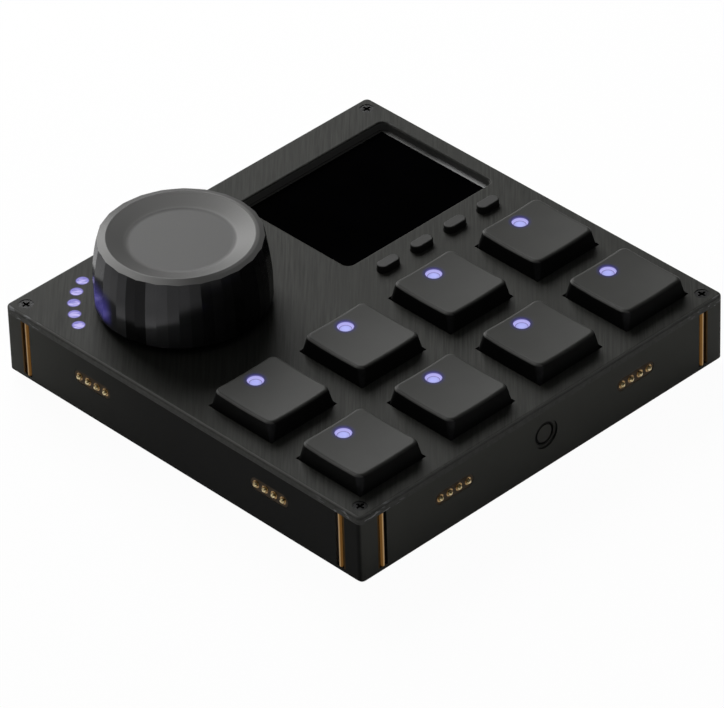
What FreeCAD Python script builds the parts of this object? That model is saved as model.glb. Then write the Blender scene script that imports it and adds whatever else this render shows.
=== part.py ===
"""Macro keypad: eight low-profile keys, a large knob, a display and four soft buttons.

Lengths are millimetres. The origin is on the table under the middle of the square case, +X runs
right, +Y runs back and +Z runs up. The round button and the keys are at the front, -Y.
"""
import FreeCAD, Part
import math
import os

V = FreeCAD.Vector

# key grid
key_columns = 4
key_rows = 2
key_pitch = 24.44
key_margin = 13.74
key_travel = 3.0

# case: a tray closed by a flat top plate
case_side = (key_columns - 1) * key_pitch + 2 * key_margin
case_height = 15.8
corner_radius = 1.2
top_edge_round = 0.65
bottom_edge_chamfer = 0.4
lid_thickness = 1.8
wall = 2.2
floor_thickness = 2.0
foot_proud = 1.0
quarter_share = 0.25

# lid ribs that locate it inside the tray walls
rib_length = 16.0
rib_thickness = 1.2
rib_depth = 1.4
rib_clearance = 0.15

# corner screws, inserts and posts
screw_inset = 3.0
screw_shank_radius = 0.8
screw_length = 8.0
screw_head_radius = 1.5
screw_head_height = 0.9
screw_head_sink = 0.1
screw_clearance = 0.15
cross_length = 1.9
cross_width = 0.5
cross_depth = 0.5
insert_radius = 1.25
insert_length = 3.0
post_side = 5.0
fit_gap = 0.02

# upright brass rods in grooves near the ends of each wall
rod_inset = 5.9
rod_radius = 0.75
rod_gap = 0.3
groove_wall = 0.9
groove_floor = 1.2
rod_end_gap = 0.05

# circuit board
board_drop = 6.0
board_thickness = 1.6
board_edge_gap = 3.5
board_corner_gap = 0.5
standoff_radius = 2.5
board_screw_radius = 1.0
board_screw_length = 4.5
board_head_radius = 1.9
board_head_height = 1.2
standoff_back_inset = 8.9
chip_side = 7.0
chip_height = 0.9

# keycaps
cap_base_side = 17.3
cap_top_side = 16.3
cap_base_corner = 1.0
cap_top_corner = 1.9
cap_height_above = 3.9
cap_skirt_below = 1.4
cap_wall = 1.2
cap_roof = 1.7
cap_dish_radius = 120.0
cap_edge_round = 0.8
cap_gap = 0.2
lens_radius = 1.7
lens_offset = 4.7
lens_sink = 0.9
lens_chamfer = 0.2
lens_flange_radius = 2.05
lens_flange_height = 0.4
prong_width = 1.2
prong_depth = 3.0
prong_length = 2.9
prong_spacing = 5.7

# low-profile switches
housing_side = 13.8
housing_drop = 1.3
housing_flange_side = 15.0
housing_flange_height = 1.3
housing_roof = 0.8
housing_chamfer = 0.7
stem_width = 10.2
stem_depth = 4.8
stem_gap = 0.2
stem_flange_extra = 0.5
stem_flange_height = 0.7
stem_slot_gap = 0.05
slide_gap = 0.05
bay_width = 5.2
bay_depth = 2.4
led_width = 3.4
led_depth = 1.6
led_height = 1.4
led_dome_radius = 0.75
led_dome_height = 2.2

# display
window_width = 41.2
window_depth = 31.9
window_right_margin = 3.8
window_back_margin = 8.6
window_corner = 1.6
window_edge_round = 0.5
panel_extra_left = 6.5
panel_extra_right = 1.0
panel_extra_end = 1.2
panel_thickness = 2.4
glass_thickness = 0.8
glass_overlap = 0.7
glass_right_ledge = 1.2
glass_back_ledge = 0.8

# pill-shaped soft buttons under the display
soft_count = 4
soft_pitch = 9.42
soft_length = 5.4
soft_width = 2.6
soft_height = 1.5
soft_gap = 0.1
soft_edge_round = 0.3
soft_front_offset = 5.66
soft_travel = 0.4
soft_flange_extra = 0.6
soft_flange_height = 0.6
soft_stem_radius = 0.9
tact_width = 4.2
tact_depth = 3.4
tact_height = 2.2
tact_well_depth = 0.9
tact_well_gap = 0.1
tact_lead_in = 0.2

# knob and encoder
knob_radius = 17.75
knob_lean = 1.35
knob_lift = 0.8
knob_height = 15.5
knob_straight = 4.6
knob_flats = 24
knob_foot_round = 1.3
knob_rim_width = 1.5
knob_rim_drop = 0.45
knob_mouth_round = 0.3
knob_dish_slope = 4.0
knob_dish_depth = 1.4
knob_dish_blend = 4.0
knob_skin = 1.9
knob_roof = 1.8
knob_ribs = 6
knob_rib_thickness = 1.2
knob_rib_height = 6.0
knob_push = 0.5
hub_radius = 5.0
shaft_radius = 3.0
shaft_flat_depth = 1.5
shaft_flat_length = 7.0
shaft_engagement = 8.0
shaft_running_gap = 0.05
bush_radius = 3.5
bush_height = 4.2
bush_hole_gap = 0.1
nut_across_flats = 10.0
nut_height = 2.0
encoder_side = 12.4
detent_radius = 4.6
detent_height = 0.7
actuator_height = 0.8
actuator_gap = 0.1

# arc of status lights round the knob
status_count = 5
status_arc_radius = 21.9
status_first_angle = 114.7
status_step_angle = 10.0
status_hole_radius = 1.2
status_pipe_gap = 0.03
status_sink = 0.3
status_flange_radius = 1.7
status_flange_height = 0.5
status_led_side = 2.0
status_led_height = 0.9
status_led_gap = 0.2

# side contacts, level with the board
contact_rise = 0.65
contact_pins = 4
contact_pitch = 2.5
contact_length = 10.4
contact_width = 3.0
contact_block_gap = 0.05
contact_block_sink = 0.05
pin_body_radius = 0.85
pin_tip_radius = 0.55
pin_body_length = 2.2
pin_proud = 0.6
pin_travel = 0.5
pin_end_gap = 0.2
target_radius = 0.8
target_length = 2.2
target_sink = 0.1

# round button in the front wall
side_button_rise = 0.15
side_button_rim_radius = 3.2
side_button_radius = 2.35
side_button_gap = 0.08
side_button_sink = 0.45
side_button_face_radius = 2.1
side_button_step = 0.5
side_button_flange_extra = 0.6
side_button_flange_height = 0.6
side_button_travel = 0.4
side_button_round = 0.2
side_stem_radius = 0.9
side_stem_drop = 1.7
side_switch_width = 6.0
side_switch_height = 3.2
side_switch_depth = 3.2
side_switch_gap = 0.95

# lead connector in the back wall
usb_width = 8.94
usb_height = 3.2
usb_depth = 7.3
usb_skin = 0.3
usb_sink = 0.3
usb_gap = 0.12
usb_tongue_width = 6.7
usb_tongue_height = 0.7
usb_tongue_back = 1.2
usb_tongue_setback = 0.8

# feet
foot_radius = 4.5
foot_inset = 10.0
foot_recess = 0.8
foot_chamfer = 0.3

# one overrun serves every cut
cut = 1.0

# levels and places that follow from the sizes above
base_z = foot_proud
top_z = base_z + case_height
lid_z = top_z - lid_thickness
floor_z = base_z + floor_thickness
board_top_z = top_z - board_drop
board_z = board_top_z - board_thickness
half = case_side / 2
knob_x = -half + case_side * quarter_share
knob_y = half - case_side * quarter_share
window_right = half - window_right_margin
window_left = window_right - window_width
window_back = half - window_back_margin
window_front = window_back - window_depth
soft_x = half - case_side * quarter_share
soft_y = window_front - soft_front_offset
contact_z = board_z + contact_rise
cap_top_z = top_z + cap_height_above
cap_bottom_z = top_z - cap_skirt_below
cap_ceiling_z = cap_top_z - cap_roof
housing_top_z = top_z - housing_drop
side_button_z = board_z + side_button_rise
opening_side = cap_base_side + 2 * cap_gap
groove_width = 2 * (rod_radius + rod_gap)
groove_depth = 2 * rod_radius + fit_gap
pilaster_depth = groove_depth + groove_wall
board_half = half - board_edge_gap
knob_top_radius = knob_radius - knob_lean
knob_mouth_radius = knob_top_radius - knob_rim_width
knob_base_z = top_z + knob_lift
knob_top_z = knob_base_z + knob_height


def box(low, high):
    """Box between two corners."""
    size = high - low
    return Part.makeBox(size.x, size.y, size.z, low)


def cylinder(radius, base, height, axis=V(0, 0, 1)):
    """Cylinder from a point on its axis."""
    return Part.makeCylinder(radius, height, base, axis)


def rounded_wire(width, depth, radius, z, x=0.0, y=0.0):
    """Closed rectangle with arc corners, flat at height z."""
    a = width / 2
    b = depth / 2
    k = radius * (1 - math.sqrt(2) / 2)
    edges = []
    sides = [
        (V(a, -b + radius, z), V(a, b - radius, z), V(a - k, b - k, z), V(a - radius, b, z)),
        (V(a - radius, b, z), V(-a + radius, b, z), V(-a + k, b - k, z), V(-a, b - radius, z)),
        (V(-a, b - radius, z), V(-a, -b + radius, z), V(-a + k, -b + k, z), V(-a + radius, -b, z)),
        (V(-a + radius, -b, z), V(a - radius, -b, z), V(a - k, -b + k, z), V(a, -b + radius, z)),
    ]
    for start, end, middle, after in sides:
        if (end - start).Length > fit_gap:
            edges.append(Part.makeLine(start, end))
        edges.append(Part.Arc(end, middle, after).toShape())
    wire = Part.Wire(edges)
    wire.translate(V(x, y, 0))
    return wire


def rounded_prism(width, depth, radius, z, height, x=0.0, y=0.0):
    """Upright prism on a rounded rectangle."""
    face = Part.Face(rounded_wire(width, depth, radius, z, x, y))
    return face.extrude(V(0, 0, height))


def pill(length, width, z, height, x=0.0, y=0.0):
    """Upright prism on a slot outline whose long axis is X."""
    return rounded_prism(length, width, width / 2, z, height, x, y)


def revolve(points, centre):
    """Solid of revolution about the upright axis through centre, from radius and height pairs."""
    wire = Part.makePolygon([V(r, 0, z) for r, z in points + points[:1]])
    solid = Part.Face(wire).revolve(V(0, 0, 0), V(0, 0, 1), 360)
    solid.translate(centre)
    return solid


def union(shapes):
    """One shape fused from a list."""
    first = shapes[0]
    return first.fuse(shapes[1:]).removeSplitter() if len(shapes) > 1 else first


def group(shapes):
    """Separate solids kept together."""
    return Part.makeCompound(shapes)


def edges_at(shape, z, inside=None):
    """Edges that lie flat at height z, those longer than nothing."""
    found = []
    for edge in shape.Edges:
        limits = edge.BoundBox
        flat = abs(limits.ZMin - z) < fit_gap and abs(limits.ZMax - z) < fit_gap
        if flat and (inside is None or inside(limits)):
            found.append(edge)
    return found


def to_side(shape, side):
    """Turn a shape built on the front wall to side 0 front, 1 right, 2 back or 3 left."""
    turned = shape.copy()
    turned.rotate(V(0, 0, 0), V(0, 0, 1), 90 * side)
    return turned


def corners(inset):
    """The four places at one inset from two sides."""
    reach = half - inset
    return [V(sx * reach, sy * reach, 0) for sx in (-1, 1) for sy in (-1, 1)]


def key_places():
    """Key centres, front row first, from left to right."""
    first = -half + key_margin
    return [
        V(first + column * key_pitch, first + row * key_pitch, 0)
        for row in range(key_rows)
        for column in range(key_columns)
    ]


def soft_places():
    """Soft button centres from left to right."""
    middle = (soft_count - 1) / 2
    return [V(soft_x + (i - middle) * soft_pitch, soft_y, 0) for i in range(soft_count)]


def status_places():
    """Light centres on the arc round the knob."""
    places = []
    for i in range(status_count):
        angle = math.radians(status_first_angle + i * status_step_angle)
        x = knob_x + status_arc_radius * math.cos(angle)
        y = knob_y + status_arc_radius * math.sin(angle)
        places.append(V(x, y, 0))
    return places


def standoff_places():
    """Board screw centres: between the keys in front, and near the back wall."""
    x = key_pitch
    front = -half + key_margin + key_pitch / 2
    back = half - standoff_back_inset
    return [V(-x, front, 0), V(x, front, 0), V(-x, back, 0), V(x, back, 0)]


# top plate

def lid_ribs():
    """Short ribs under the plate, one inside each wall."""
    face = half - wall - rib_clearance
    low = V(-rib_length / 2, -face, lid_z - rib_depth)
    high = V(rib_length / 2, -face + rib_thickness, lid_z)
    rib = box(low, high)
    return [to_side(rib, side) for side in range(4)]


def screw_seat(place):
    """Countersunk hole for one corner screw."""
    seat_radius = screw_head_radius + fit_gap
    hole_radius = screw_shank_radius + screw_clearance
    seat_z = top_z - screw_head_sink
    hole = cylinder(hole_radius, place + V(0, 0, lid_z - cut), lid_thickness + 2 * cut)
    cone = Part.makeCone(hole_radius, seat_radius, screw_head_height, place + V(0, 0, seat_z - screw_head_height))
    mouth = cylinder(seat_radius, place + V(0, 0, seat_z), screw_head_sink + cut)
    return [hole, cone, mouth]


def in_window(limits):
    """True for an edge that lies on the outline of the display window."""
    across = limits.XMin > window_left - fit_gap and limits.XMax < window_right + fit_gap
    along = limits.YMin > window_front - fit_gap and limits.YMax < window_back + fit_gap
    return across and along


def make_top_plate():
    """Flat plate with every opening that shows from above."""
    plate = rounded_prism(case_side, case_side, corner_radius, lid_z, lid_thickness)
    plate = plate.makeFillet(top_edge_round, edges_at(plate, top_z))
    low = lid_z - cut
    deep = lid_thickness + 2 * cut
    window_x = (window_left + window_right) / 2
    window_y = (window_front + window_back) / 2
    window = rounded_prism(window_width, window_depth, window_corner, low, deep, window_x, window_y)
    plate = plate.cut(window)
    plate = plate.makeFillet(window_edge_round, edges_at(plate, top_z, in_window))
    plate = plate.fuse(lid_ribs())
    tools = []
    reach = opening_side / 2
    for place in key_places():
        tools.append(box(place + V(-reach, -reach, low), place + V(reach, reach, low + deep)))
    for place in soft_places():
        slot_length = soft_length + 2 * soft_gap
        tools.append(pill(slot_length, soft_width + 2 * soft_gap, low, deep, place.x, place.y))
    for place in status_places():
        tools.append(cylinder(status_hole_radius, place + V(0, 0, low), deep))
    tools.append(cylinder(bush_radius + bush_hole_gap, V(knob_x, knob_y, low), deep))
    for place in corners(screw_inset):
        tools.extend(screw_seat(place))
    return plate.cut(tools).removeSplitter()


# tray

def corner_post(sx, sy):
    """Post under one corner of the plate, with a thicker wall behind each rod groove."""
    inner = half - wall / 2
    height = lid_z - floor_z + floor_thickness / 2
    base = floor_z - floor_thickness / 2
    run = rod_inset + groove_width / 2 + groove_wall
    pieces = []
    for reach_x, reach_y in ((post_side, post_side), (run, pilaster_depth), (pilaster_depth, run)):
        low_x = half - reach_x
        low_y = half - reach_y
        piece = box(V(low_x, low_y, base), V(inner, inner, base + height))
        pieces.append(piece)
    post = union(pieces)
    corner = rounded_prism(case_side, case_side, corner_radius, base, height)
    post = post.common(corner)
    if sx < 0:
        post = post.mirror(V(0, 0, 0), V(1, 0, 0))
    if sy < 0:
        post = post.mirror(V(0, 0, 0), V(0, 1, 0))
    return post


def rod_groove(x):
    """Groove for one rod on the front wall, open at the wall and at the top."""
    bottom = base_z + groove_floor
    axis_y = -half + groove_depth - groove_width / 2
    height = lid_z - bottom + cut
    round_end = cylinder(groove_width / 2, V(x, axis_y, bottom), height)
    mouth = box(V(x - groove_width / 2, -half - cut, bottom), V(x + groove_width / 2, axis_y, bottom + height))
    return union([round_end, mouth])


def rod_offsets():
    """The two rod places along a wall."""
    return [-half + rod_inset, half - rod_inset]


def contact_offsets():
    """The two contact places along a wall, a quarter in from each end."""
    return [-half + case_side * quarter_share, half - case_side * quarter_share]


def wall_pill(length, width, z, y, depth, x=0.0):
    """Slot-shaped bar that runs along +Y from y, with its long axis along X."""
    bar = pill(length, width, 0, depth)
    bar.rotate(V(0, 0, 0), V(1, 0, 0), -90)
    bar.translate(V(x, y, z))
    return bar


def make_lower_case():
    """Tray with posts, standoffs, rod grooves and the openings in its walls."""
    height = lid_z - base_z
    outer = rounded_prism(case_side, case_side, corner_radius, base_z, height)
    outer = outer.makeChamfer(bottom_edge_chamfer, edges_at(outer, base_z))
    inner_side = case_side - 2 * wall
    inner_radius = max(corner_radius - wall, fit_gap) + fit_gap
    inner = rounded_prism(inner_side, inner_side, inner_radius, floor_z, height)
    tray = outer.cut(inner)
    posts = [corner_post(sx, sy) for sx in (-1, 1) for sy in (-1, 1)]
    standoffs = [
        cylinder(standoff_radius, place + V(0, 0, floor_z - floor_thickness / 2), board_z - floor_z + floor_thickness / 2)
        for place in standoff_places()
    ]
    tray = tray.fuse(posts + standoffs)
    tools = []
    for side in range(4):
        for x in rod_offsets():
            tools.append(to_side(rod_groove(x), side))
        for x in contact_offsets():
            slot = wall_pill(contact_length, contact_width, contact_z, -half - cut, wall + 2 * cut, x)
            tools.append(to_side(slot, side))
    for place in corners(screw_inset):
        depth = screw_length + cut
        tools.append(cylinder(insert_radius, place + V(0, 0, lid_z - insert_length), insert_length + cut))
        tools.append(cylinder(screw_shank_radius + screw_clearance, place + V(0, 0, top_z - depth), depth))
    for place in standoff_places():
        hole_depth = board_screw_length
        tools.append(cylinder(board_screw_radius + fit_gap, place + V(0, 0, board_z - hole_depth), hole_depth + cut))
    for place in corners(foot_inset):
        tools.append(cylinder(foot_radius + fit_gap, place + V(0, 0, base_z - cut), foot_recess + cut))
    tools.extend(side_button_bores())
    tools.append(usb_opening())
    return tray.cut(tools).removeSplitter()


def side_button_bores():
    """Sunk rim and through bore of the round button in the front wall."""
    y_axis = V(0, 1, 0)
    rim = cylinder(side_button_rim_radius, V(0, -half - cut, side_button_z), side_button_sink + cut, y_axis)
    bore_radius = side_button_radius + side_button_gap
    bore = cylinder(bore_radius, V(0, -half - cut, side_button_z), wall + 2 * cut, y_axis)
    return [rim, bore]


def usb_centre_z():
    """Height of the lead connector, which hangs under the board."""
    return board_z - usb_height / 2


def usb_opening():
    """Slot in the back wall round the lead connector."""
    length = usb_width + 2 * usb_gap
    width = usb_height + 2 * usb_gap
    return wall_pill(length, width, usb_centre_z(), half - wall - cut, wall + 2 * cut)


# screws, inserts, rods and feet

def make_corner_screws():
    """Countersunk cross-head screws."""
    screws = []
    head_top = top_z - screw_head_sink
    for place in corners(screw_inset):
        head_z = head_top - screw_head_height
        head = Part.makeCone(screw_shank_radius, screw_head_radius, screw_head_height, place + V(0, 0, head_z))
        shank = cylinder(screw_shank_radius, place + V(0, 0, top_z - screw_length), screw_length - screw_head_height)
        screw = head.fuse(shank).removeSplitter()
        for along_x in (True, False):
            a = cross_length / 2 if along_x else cross_width / 2
            b = cross_width / 2 if along_x else cross_length / 2
            recess = box(place + V(-a, -b, head_top - cross_depth), place + V(a, b, head_top + cut))
            screw = screw.cut(recess)
        screws.append(screw)
    return group(screws)


def make_threaded_inserts():
    """Brass inserts pressed into the corner posts under the plate."""
    inserts = []
    for place in corners(screw_inset):
        body = cylinder(insert_radius, place + V(0, 0, lid_z - insert_length), insert_length)
        bore = cylinder(screw_shank_radius + fit_gap, place + V(0, 0, lid_z - insert_length - cut), insert_length + 2 * cut)
        inserts.append(body.cut(bore))
    return group(inserts)


def make_side_rods():
    """Eight round rods that stand in the wall grooves under the plate."""
    bottom = base_z + groove_floor
    height = lid_z - bottom - rod_end_gap
    rods = []
    for side in range(4):
        for x in rod_offsets():
            rod = cylinder(rod_radius, V(x, -half + rod_radius, bottom), height)
            rods.append(to_side(rod, side))
    return group(rods)


def make_rubber_feet():
    """Round feet glued into shallow recesses in the floor."""
    feet = []
    for place in corners(foot_inset):
        height = foot_proud + foot_recess
        foot = cylinder(foot_radius, place, height)
        feet.append(foot.makeChamfer(foot_chamfer, edges_at(foot, 0)))
    return group(feet)


# circuit board and what stands on it

def make_main_board():
    """Board that clears the corner posts and is drilled for its screws."""
    board = box(V(-board_half, -board_half, board_z), V(board_half, board_half, board_top_z))
    notch = post_side + board_corner_gap
    tools = []
    for sx in (-1, 1):
        for sy in (-1, 1):
            low_x = min(sx * (half - notch), sx * half)
            low_y = min(sy * (half - notch), sy * half)
            tools.append(box(V(low_x, low_y, board_z - cut), V(low_x + notch, low_y + notch, board_top_z + cut)))
    for place in standoff_places():
        hole_radius = board_screw_radius + screw_clearance
        tools.append(cylinder(hole_radius, place + V(0, 0, board_z - cut), board_thickness + 2 * cut))
    return board.cut(tools)


def make_board_screws():
    """Pan-head screws into the tray's standoffs."""
    screws = []
    for place in standoff_places():
        shank_z = board_z - board_screw_length + fit_gap
        shank = cylinder(board_screw_radius, place + V(0, 0, shank_z), board_top_z - shank_z)
        head = cylinder(board_head_radius, place + V(0, 0, board_top_z), board_head_height)
        screws.append(shank.fuse(head).removeSplitter())
    return group(screws)


def make_controller_chip():
    """Square chip under the board."""
    reach = chip_side / 2
    return box(V(-reach, -reach, board_z - chip_height), V(reach, reach, board_z))


# keys

def cap_section(shrink, z):
    """Keycap outline at height z, upright below the plate's level, drawn in by shrink on every side."""
    share = max(z - top_z, 0) / cap_height_above
    side = cap_base_side + (cap_top_side - cap_base_side) * share - 2 * shrink
    corner = cap_base_corner + (cap_top_corner - cap_base_corner) * share
    radius = max(corner - shrink, fit_gap)
    return rounded_wire(side, side, radius, z)


def make_keycap():
    """Tapered square cap with a shallow round dish, a hollow underside and two prongs."""
    shell = Part.makeLoft([cap_section(0, z) for z in (cap_bottom_z, top_z, cap_top_z)], True, True)
    corner_reach = (cap_top_side / 2 - cap_top_corner) * math.sqrt(2) + cap_top_corner
    corner_sag = cap_dish_radius - math.sqrt(cap_dish_radius ** 2 - corner_reach ** 2)
    dish_z = cap_top_z - fit_gap - corner_sag + cap_dish_radius
    dish = Part.makeSphere(cap_dish_radius, V(0, 0, dish_z))
    shell = shell.cut(dish)
    rim = []
    for edge in shell.Edges:
        if edge.BoundBox.ZMin > cap_ceiling_z + fit_gap:
            rim.append(edge)
    shell = shell.makeFillet(cap_edge_round, rim)
    levels = (cap_bottom_z - cut, top_z, cap_ceiling_z)
    hollow = Part.makeLoft([cap_section(cap_wall, z) for z in levels], True, True)
    hole = cylinder(lens_radius, V(0, lens_offset, cap_ceiling_z - cut), cap_roof + 2 * cut)
    cap = shell.cut([hollow, hole])
    prongs = []
    for sx in (-1, 1):
        x = sx * prong_spacing / 2
        low = V(x - prong_width / 2, -prong_depth / 2, cap_ceiling_z - prong_length)
        high = V(x + prong_width / 2, prong_depth / 2, cap_ceiling_z)
        prongs.append(box(low, high))
    return cap.fuse(prongs).removeSplitter()


def make_keycap_lens():
    """Clear window that fills the light hole of a keycap and ends below its top."""
    radius = lens_radius - fit_gap
    bottom = cap_ceiling_z - lens_flange_height
    plug = cylinder(radius, V(0, lens_offset, bottom), cap_top_z - lens_sink - bottom)
    plug = plug.makeChamfer(lens_chamfer, edges_at(plug, cap_top_z - lens_sink))
    flange = cylinder(lens_flange_radius, V(0, lens_offset, bottom), lens_flange_height)
    return plug.fuse(flange).removeSplitter()


def stem_flange_top_z():
    """Height of the stem's stop flange, just under the housing roof."""
    return housing_top_z - housing_roof - slide_gap


def make_switch_stem():
    """Sliding stem with a stop flange and two slots for the cap's prongs."""
    flange_top = stem_flange_top_z()
    flange_bottom = flange_top - stem_flange_height
    block = box(V(-stem_width / 2, -stem_depth / 2, flange_bottom), V(stem_width / 2, stem_depth / 2, cap_ceiling_z))
    reach_x = stem_width / 2 + stem_flange_extra
    reach_y = stem_depth / 2 + stem_flange_extra
    flange = box(V(-reach_x, -reach_y, flange_bottom), V(reach_x, reach_y, flange_top))
    tools = []
    for sx in (-1, 1):
        x = sx * prong_spacing / 2
        a = prong_width / 2 + stem_slot_gap
        b = prong_depth / 2 + stem_slot_gap
        bottom = cap_ceiling_z - prong_length - stem_slot_gap
        tools.append(box(V(x - a, -b, bottom), V(x + a, b, cap_ceiling_z + cut)))
    return block.fuse(flange).cut(tools).removeSplitter()


def make_switch_housing():
    """Low-profile housing with a flanged foot, a stem opening and a light bay."""
    reach = housing_side / 2
    body = box(V(-reach, -reach, board_top_z), V(reach, reach, housing_top_z))
    body = body.makeChamfer(housing_chamfer, edges_at(body, housing_top_z))
    foot_reach = housing_flange_side / 2
    foot = box(V(-foot_reach, -foot_reach, board_top_z), V(foot_reach, foot_reach, board_top_z + housing_flange_height))
    a = stem_width / 2 + stem_gap
    b = stem_depth / 2 + stem_gap
    mouth = box(V(-a, -b, board_top_z - cut), V(a, b, housing_top_z + cut))
    wide = stem_flange_extra + fit_gap
    roof_z = housing_top_z - housing_roof
    well = box(V(-a - wide, -b - wide, board_top_z - cut), V(a + wide, b + wide, roof_z))
    bay_y = lens_offset
    bay_low = V(-bay_width / 2, bay_y - bay_depth / 2, board_top_z - cut)
    bay_high = V(bay_width / 2, bay_y + bay_depth / 2, housing_top_z + cut)
    return body.fuse(foot).cut([mouth, well, box(bay_low, bay_high)]).removeSplitter()


def make_key_led():
    """Light that stands on the board inside the switch's bay."""
    low = V(-led_width / 2, lens_offset - led_depth / 2, board_top_z)
    high = V(led_width / 2, lens_offset + led_depth / 2, board_top_z + led_height)
    base = box(low, high)
    dome_z = board_top_z + led_height
    dome = cylinder(led_dome_radius, V(0, lens_offset, dome_z), led_dome_height - led_dome_radius)
    cap = Part.makeSphere(led_dome_radius, V(0, lens_offset, dome_z + led_dome_height - led_dome_radius))
    return base.fuse([dome, cap]).removeSplitter()


# display

def make_display_panel():
    """Panel frame under the plate, with a pocket for its glass."""
    low = V(window_left - panel_extra_left, window_front - panel_extra_end, lid_z - panel_thickness)
    high = V(window_right + panel_extra_right, window_back + panel_extra_end, lid_z)
    return box(low, high).cut(make_display_glass())


def make_display_glass():
    """Black cover glass, level with the frame round it."""
    low = V(window_left - glass_overlap, window_front - glass_overlap, lid_z - glass_thickness)
    high = V(window_right - glass_right_ledge, window_back - glass_back_ledge, lid_z)
    return box(low, high)


# soft buttons

def make_soft_button():
    """Pill button with a flange under the plate and a stem to its switch."""
    flange_top = lid_z - slide_gap
    flange_z = flange_top - soft_flange_height
    body = pill(soft_length, soft_width, flange_z, top_z + soft_height - flange_z)
    body = body.makeFillet(soft_edge_round, edges_at(body, top_z + soft_height))
    flange_length = soft_length + 2 * soft_flange_extra
    flange = pill(flange_length, soft_width + 2 * soft_flange_extra, flange_z, soft_flange_height)
    stem_z = board_top_z + tact_height - tact_lead_in
    stem = cylinder(soft_stem_radius, V(0, 0, stem_z), flange_z - stem_z)
    return body.fuse([flange, stem]).removeSplitter()


def make_tact_switch():
    """Small switch on the board with a well that the button's stem presses into."""
    low = V(-tact_width / 2, -tact_depth / 2, board_top_z)
    high = V(tact_width / 2, tact_depth / 2, board_top_z + tact_height)
    well_z = board_top_z + tact_height - tact_well_depth
    well = cylinder(soft_stem_radius + tact_well_gap, V(0, 0, well_z), tact_well_depth + cut)
    return box(low, high).cut(well)


# knob and encoder

def knob_side_profile(reach):
    """Closed outline across the knob, its two sides upright at the foot and leaning in above."""
    bend_z = knob_base_z + knob_straight
    top = knob_top_z
    span = top - bend_z
    bow = (span ** 2 + knob_lean ** 2) / (2 * knob_lean)
    mid_z = bend_z + span / 2
    mid_r = reach - (bow - math.sqrt(bow ** 2 - (span / 2) ** 2))
    top_r = reach - knob_lean
    edges = [
        Part.makeLine(V(-reach, 0, knob_base_z), V(reach, 0, knob_base_z)),
        Part.makeLine(V(reach, 0, knob_base_z), V(reach, 0, bend_z)),
        Part.Arc(V(reach, 0, bend_z), V(mid_r, 0, mid_z), V(top_r, 0, top)).toShape(),
        Part.makeLine(V(top_r, 0, top), V(-top_r, 0, top)),
        Part.Arc(V(-top_r, 0, top), V(-mid_r, 0, mid_z), V(-reach, 0, bend_z)).toShape(),
        Part.makeLine(V(-reach, 0, bend_z), V(-reach, 0, knob_base_z)),
    ]
    return Part.Wire(edges)


def knob_envelope():
    """Round body with a soft foot and a rim that falls away outward, to trim the ends of the flats."""
    reach = knob_radius / math.cos(math.pi / knob_flats)
    fall = knob_rim_drop * (reach - knob_mouth_radius) / knob_rim_width
    rim = [(reach, knob_top_z - fall), (knob_mouth_radius, knob_top_z)]
    points = [(0, knob_base_z), (reach, knob_base_z)] + rim + [(0, knob_top_z)]
    body = revolve(points, V(0, 0, 0))
    return body.makeFillet(knob_foot_round, edges_at(body, knob_base_z))


def knob_dish():
    """Shallow round dish with sloping sides that blend into its flat floor."""
    floor_r = knob_mouth_radius - knob_dish_slope
    dish_z = knob_top_z - knob_dish_depth
    wide_r = knob_mouth_radius + knob_dish_slope * cut / knob_dish_depth
    points = [(0, dish_z), (floor_r, dish_z), (wide_r, knob_top_z + cut), (0, knob_top_z + cut)]
    dish = revolve(points, V(0, 0, 0))
    return dish.makeFillet(knob_dish_blend, edges_at(dish, dish_z))


def make_knob_cap():
    """Knob with flats round its side, a dished top, a hollow underside, ribs and a hub."""
    body = knob_envelope()
    outline = Part.Face(knob_side_profile(knob_radius))
    width = 2 * knob_radius
    slab = outline.extrude(V(0, 2 * width, 0))
    slab.translate(V(0, -width, 0))
    step = 360 / knob_flats
    for i in range(knob_flats // 2):
        turned = slab.copy()
        turned.rotate(V(0, 0, 0), V(0, 0, 1), (i + 1 / 2) * step)
        body = body.common(turned)
    body = body.cut(knob_dish())
    body = body.makeFillet(knob_mouth_round, edges_at(body, knob_top_z))
    ceiling = knob_top_z - knob_dish_depth - knob_roof
    cavity_r = knob_top_radius - knob_skin
    cavity = cylinder(cavity_r, V(0, 0, knob_base_z - cut), ceiling - knob_base_z + cut)
    body = body.cut(cavity)
    hub_z = top_z + bush_height + knob_push + actuator_gap
    hub = cylinder(hub_radius, V(0, 0, hub_z), ceiling - hub_z)
    ribs = []
    for i in range(knob_ribs):
        low = V(hub_radius / 2, -knob_rib_thickness / 2, ceiling - knob_rib_height)
        high = V(cavity_r + knob_skin / 2, knob_rib_thickness / 2, ceiling)
        rib = box(low, high)
        rib.rotate(V(0, 0, 0), V(0, 0, 1), i * 360 / knob_ribs)
        ribs.append(rib)
    body = body.fuse([hub] + ribs).removeSplitter()
    body = body.cut(shaft_outline(fit_gap, hub_z - cut, shaft_top_z() + fit_gap))
    body.translate(V(knob_x, knob_y, 0))
    return body


def shaft_top_z():
    """Top of the encoder shaft inside the hub."""
    return top_z + bush_height + knob_push + actuator_gap + shaft_engagement


def shaft_outline(gap, low, high):
    """Shaft with its flat, grown by a gap, between two heights."""
    radius = shaft_radius + gap
    shaft = cylinder(radius, V(0, 0, low), high - low)
    flat_x = shaft_radius - shaft_flat_depth + gap
    flat_z = shaft_top_z() - shaft_flat_length + gap
    chip = box(V(flat_x, -2 * radius, flat_z), V(2 * radius, 2 * radius, high + cut))
    return shaft.cut(chip)


def shaft_bottom_z():
    """Foot of the encoder shaft, on the push actuator."""
    return board_top_z + actuator_gap + knob_push + actuator_height


def detent_z():
    """Underside of the detent disc on the shaft."""
    return lid_z - encoder_roof() - slide_gap - detent_height


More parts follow.
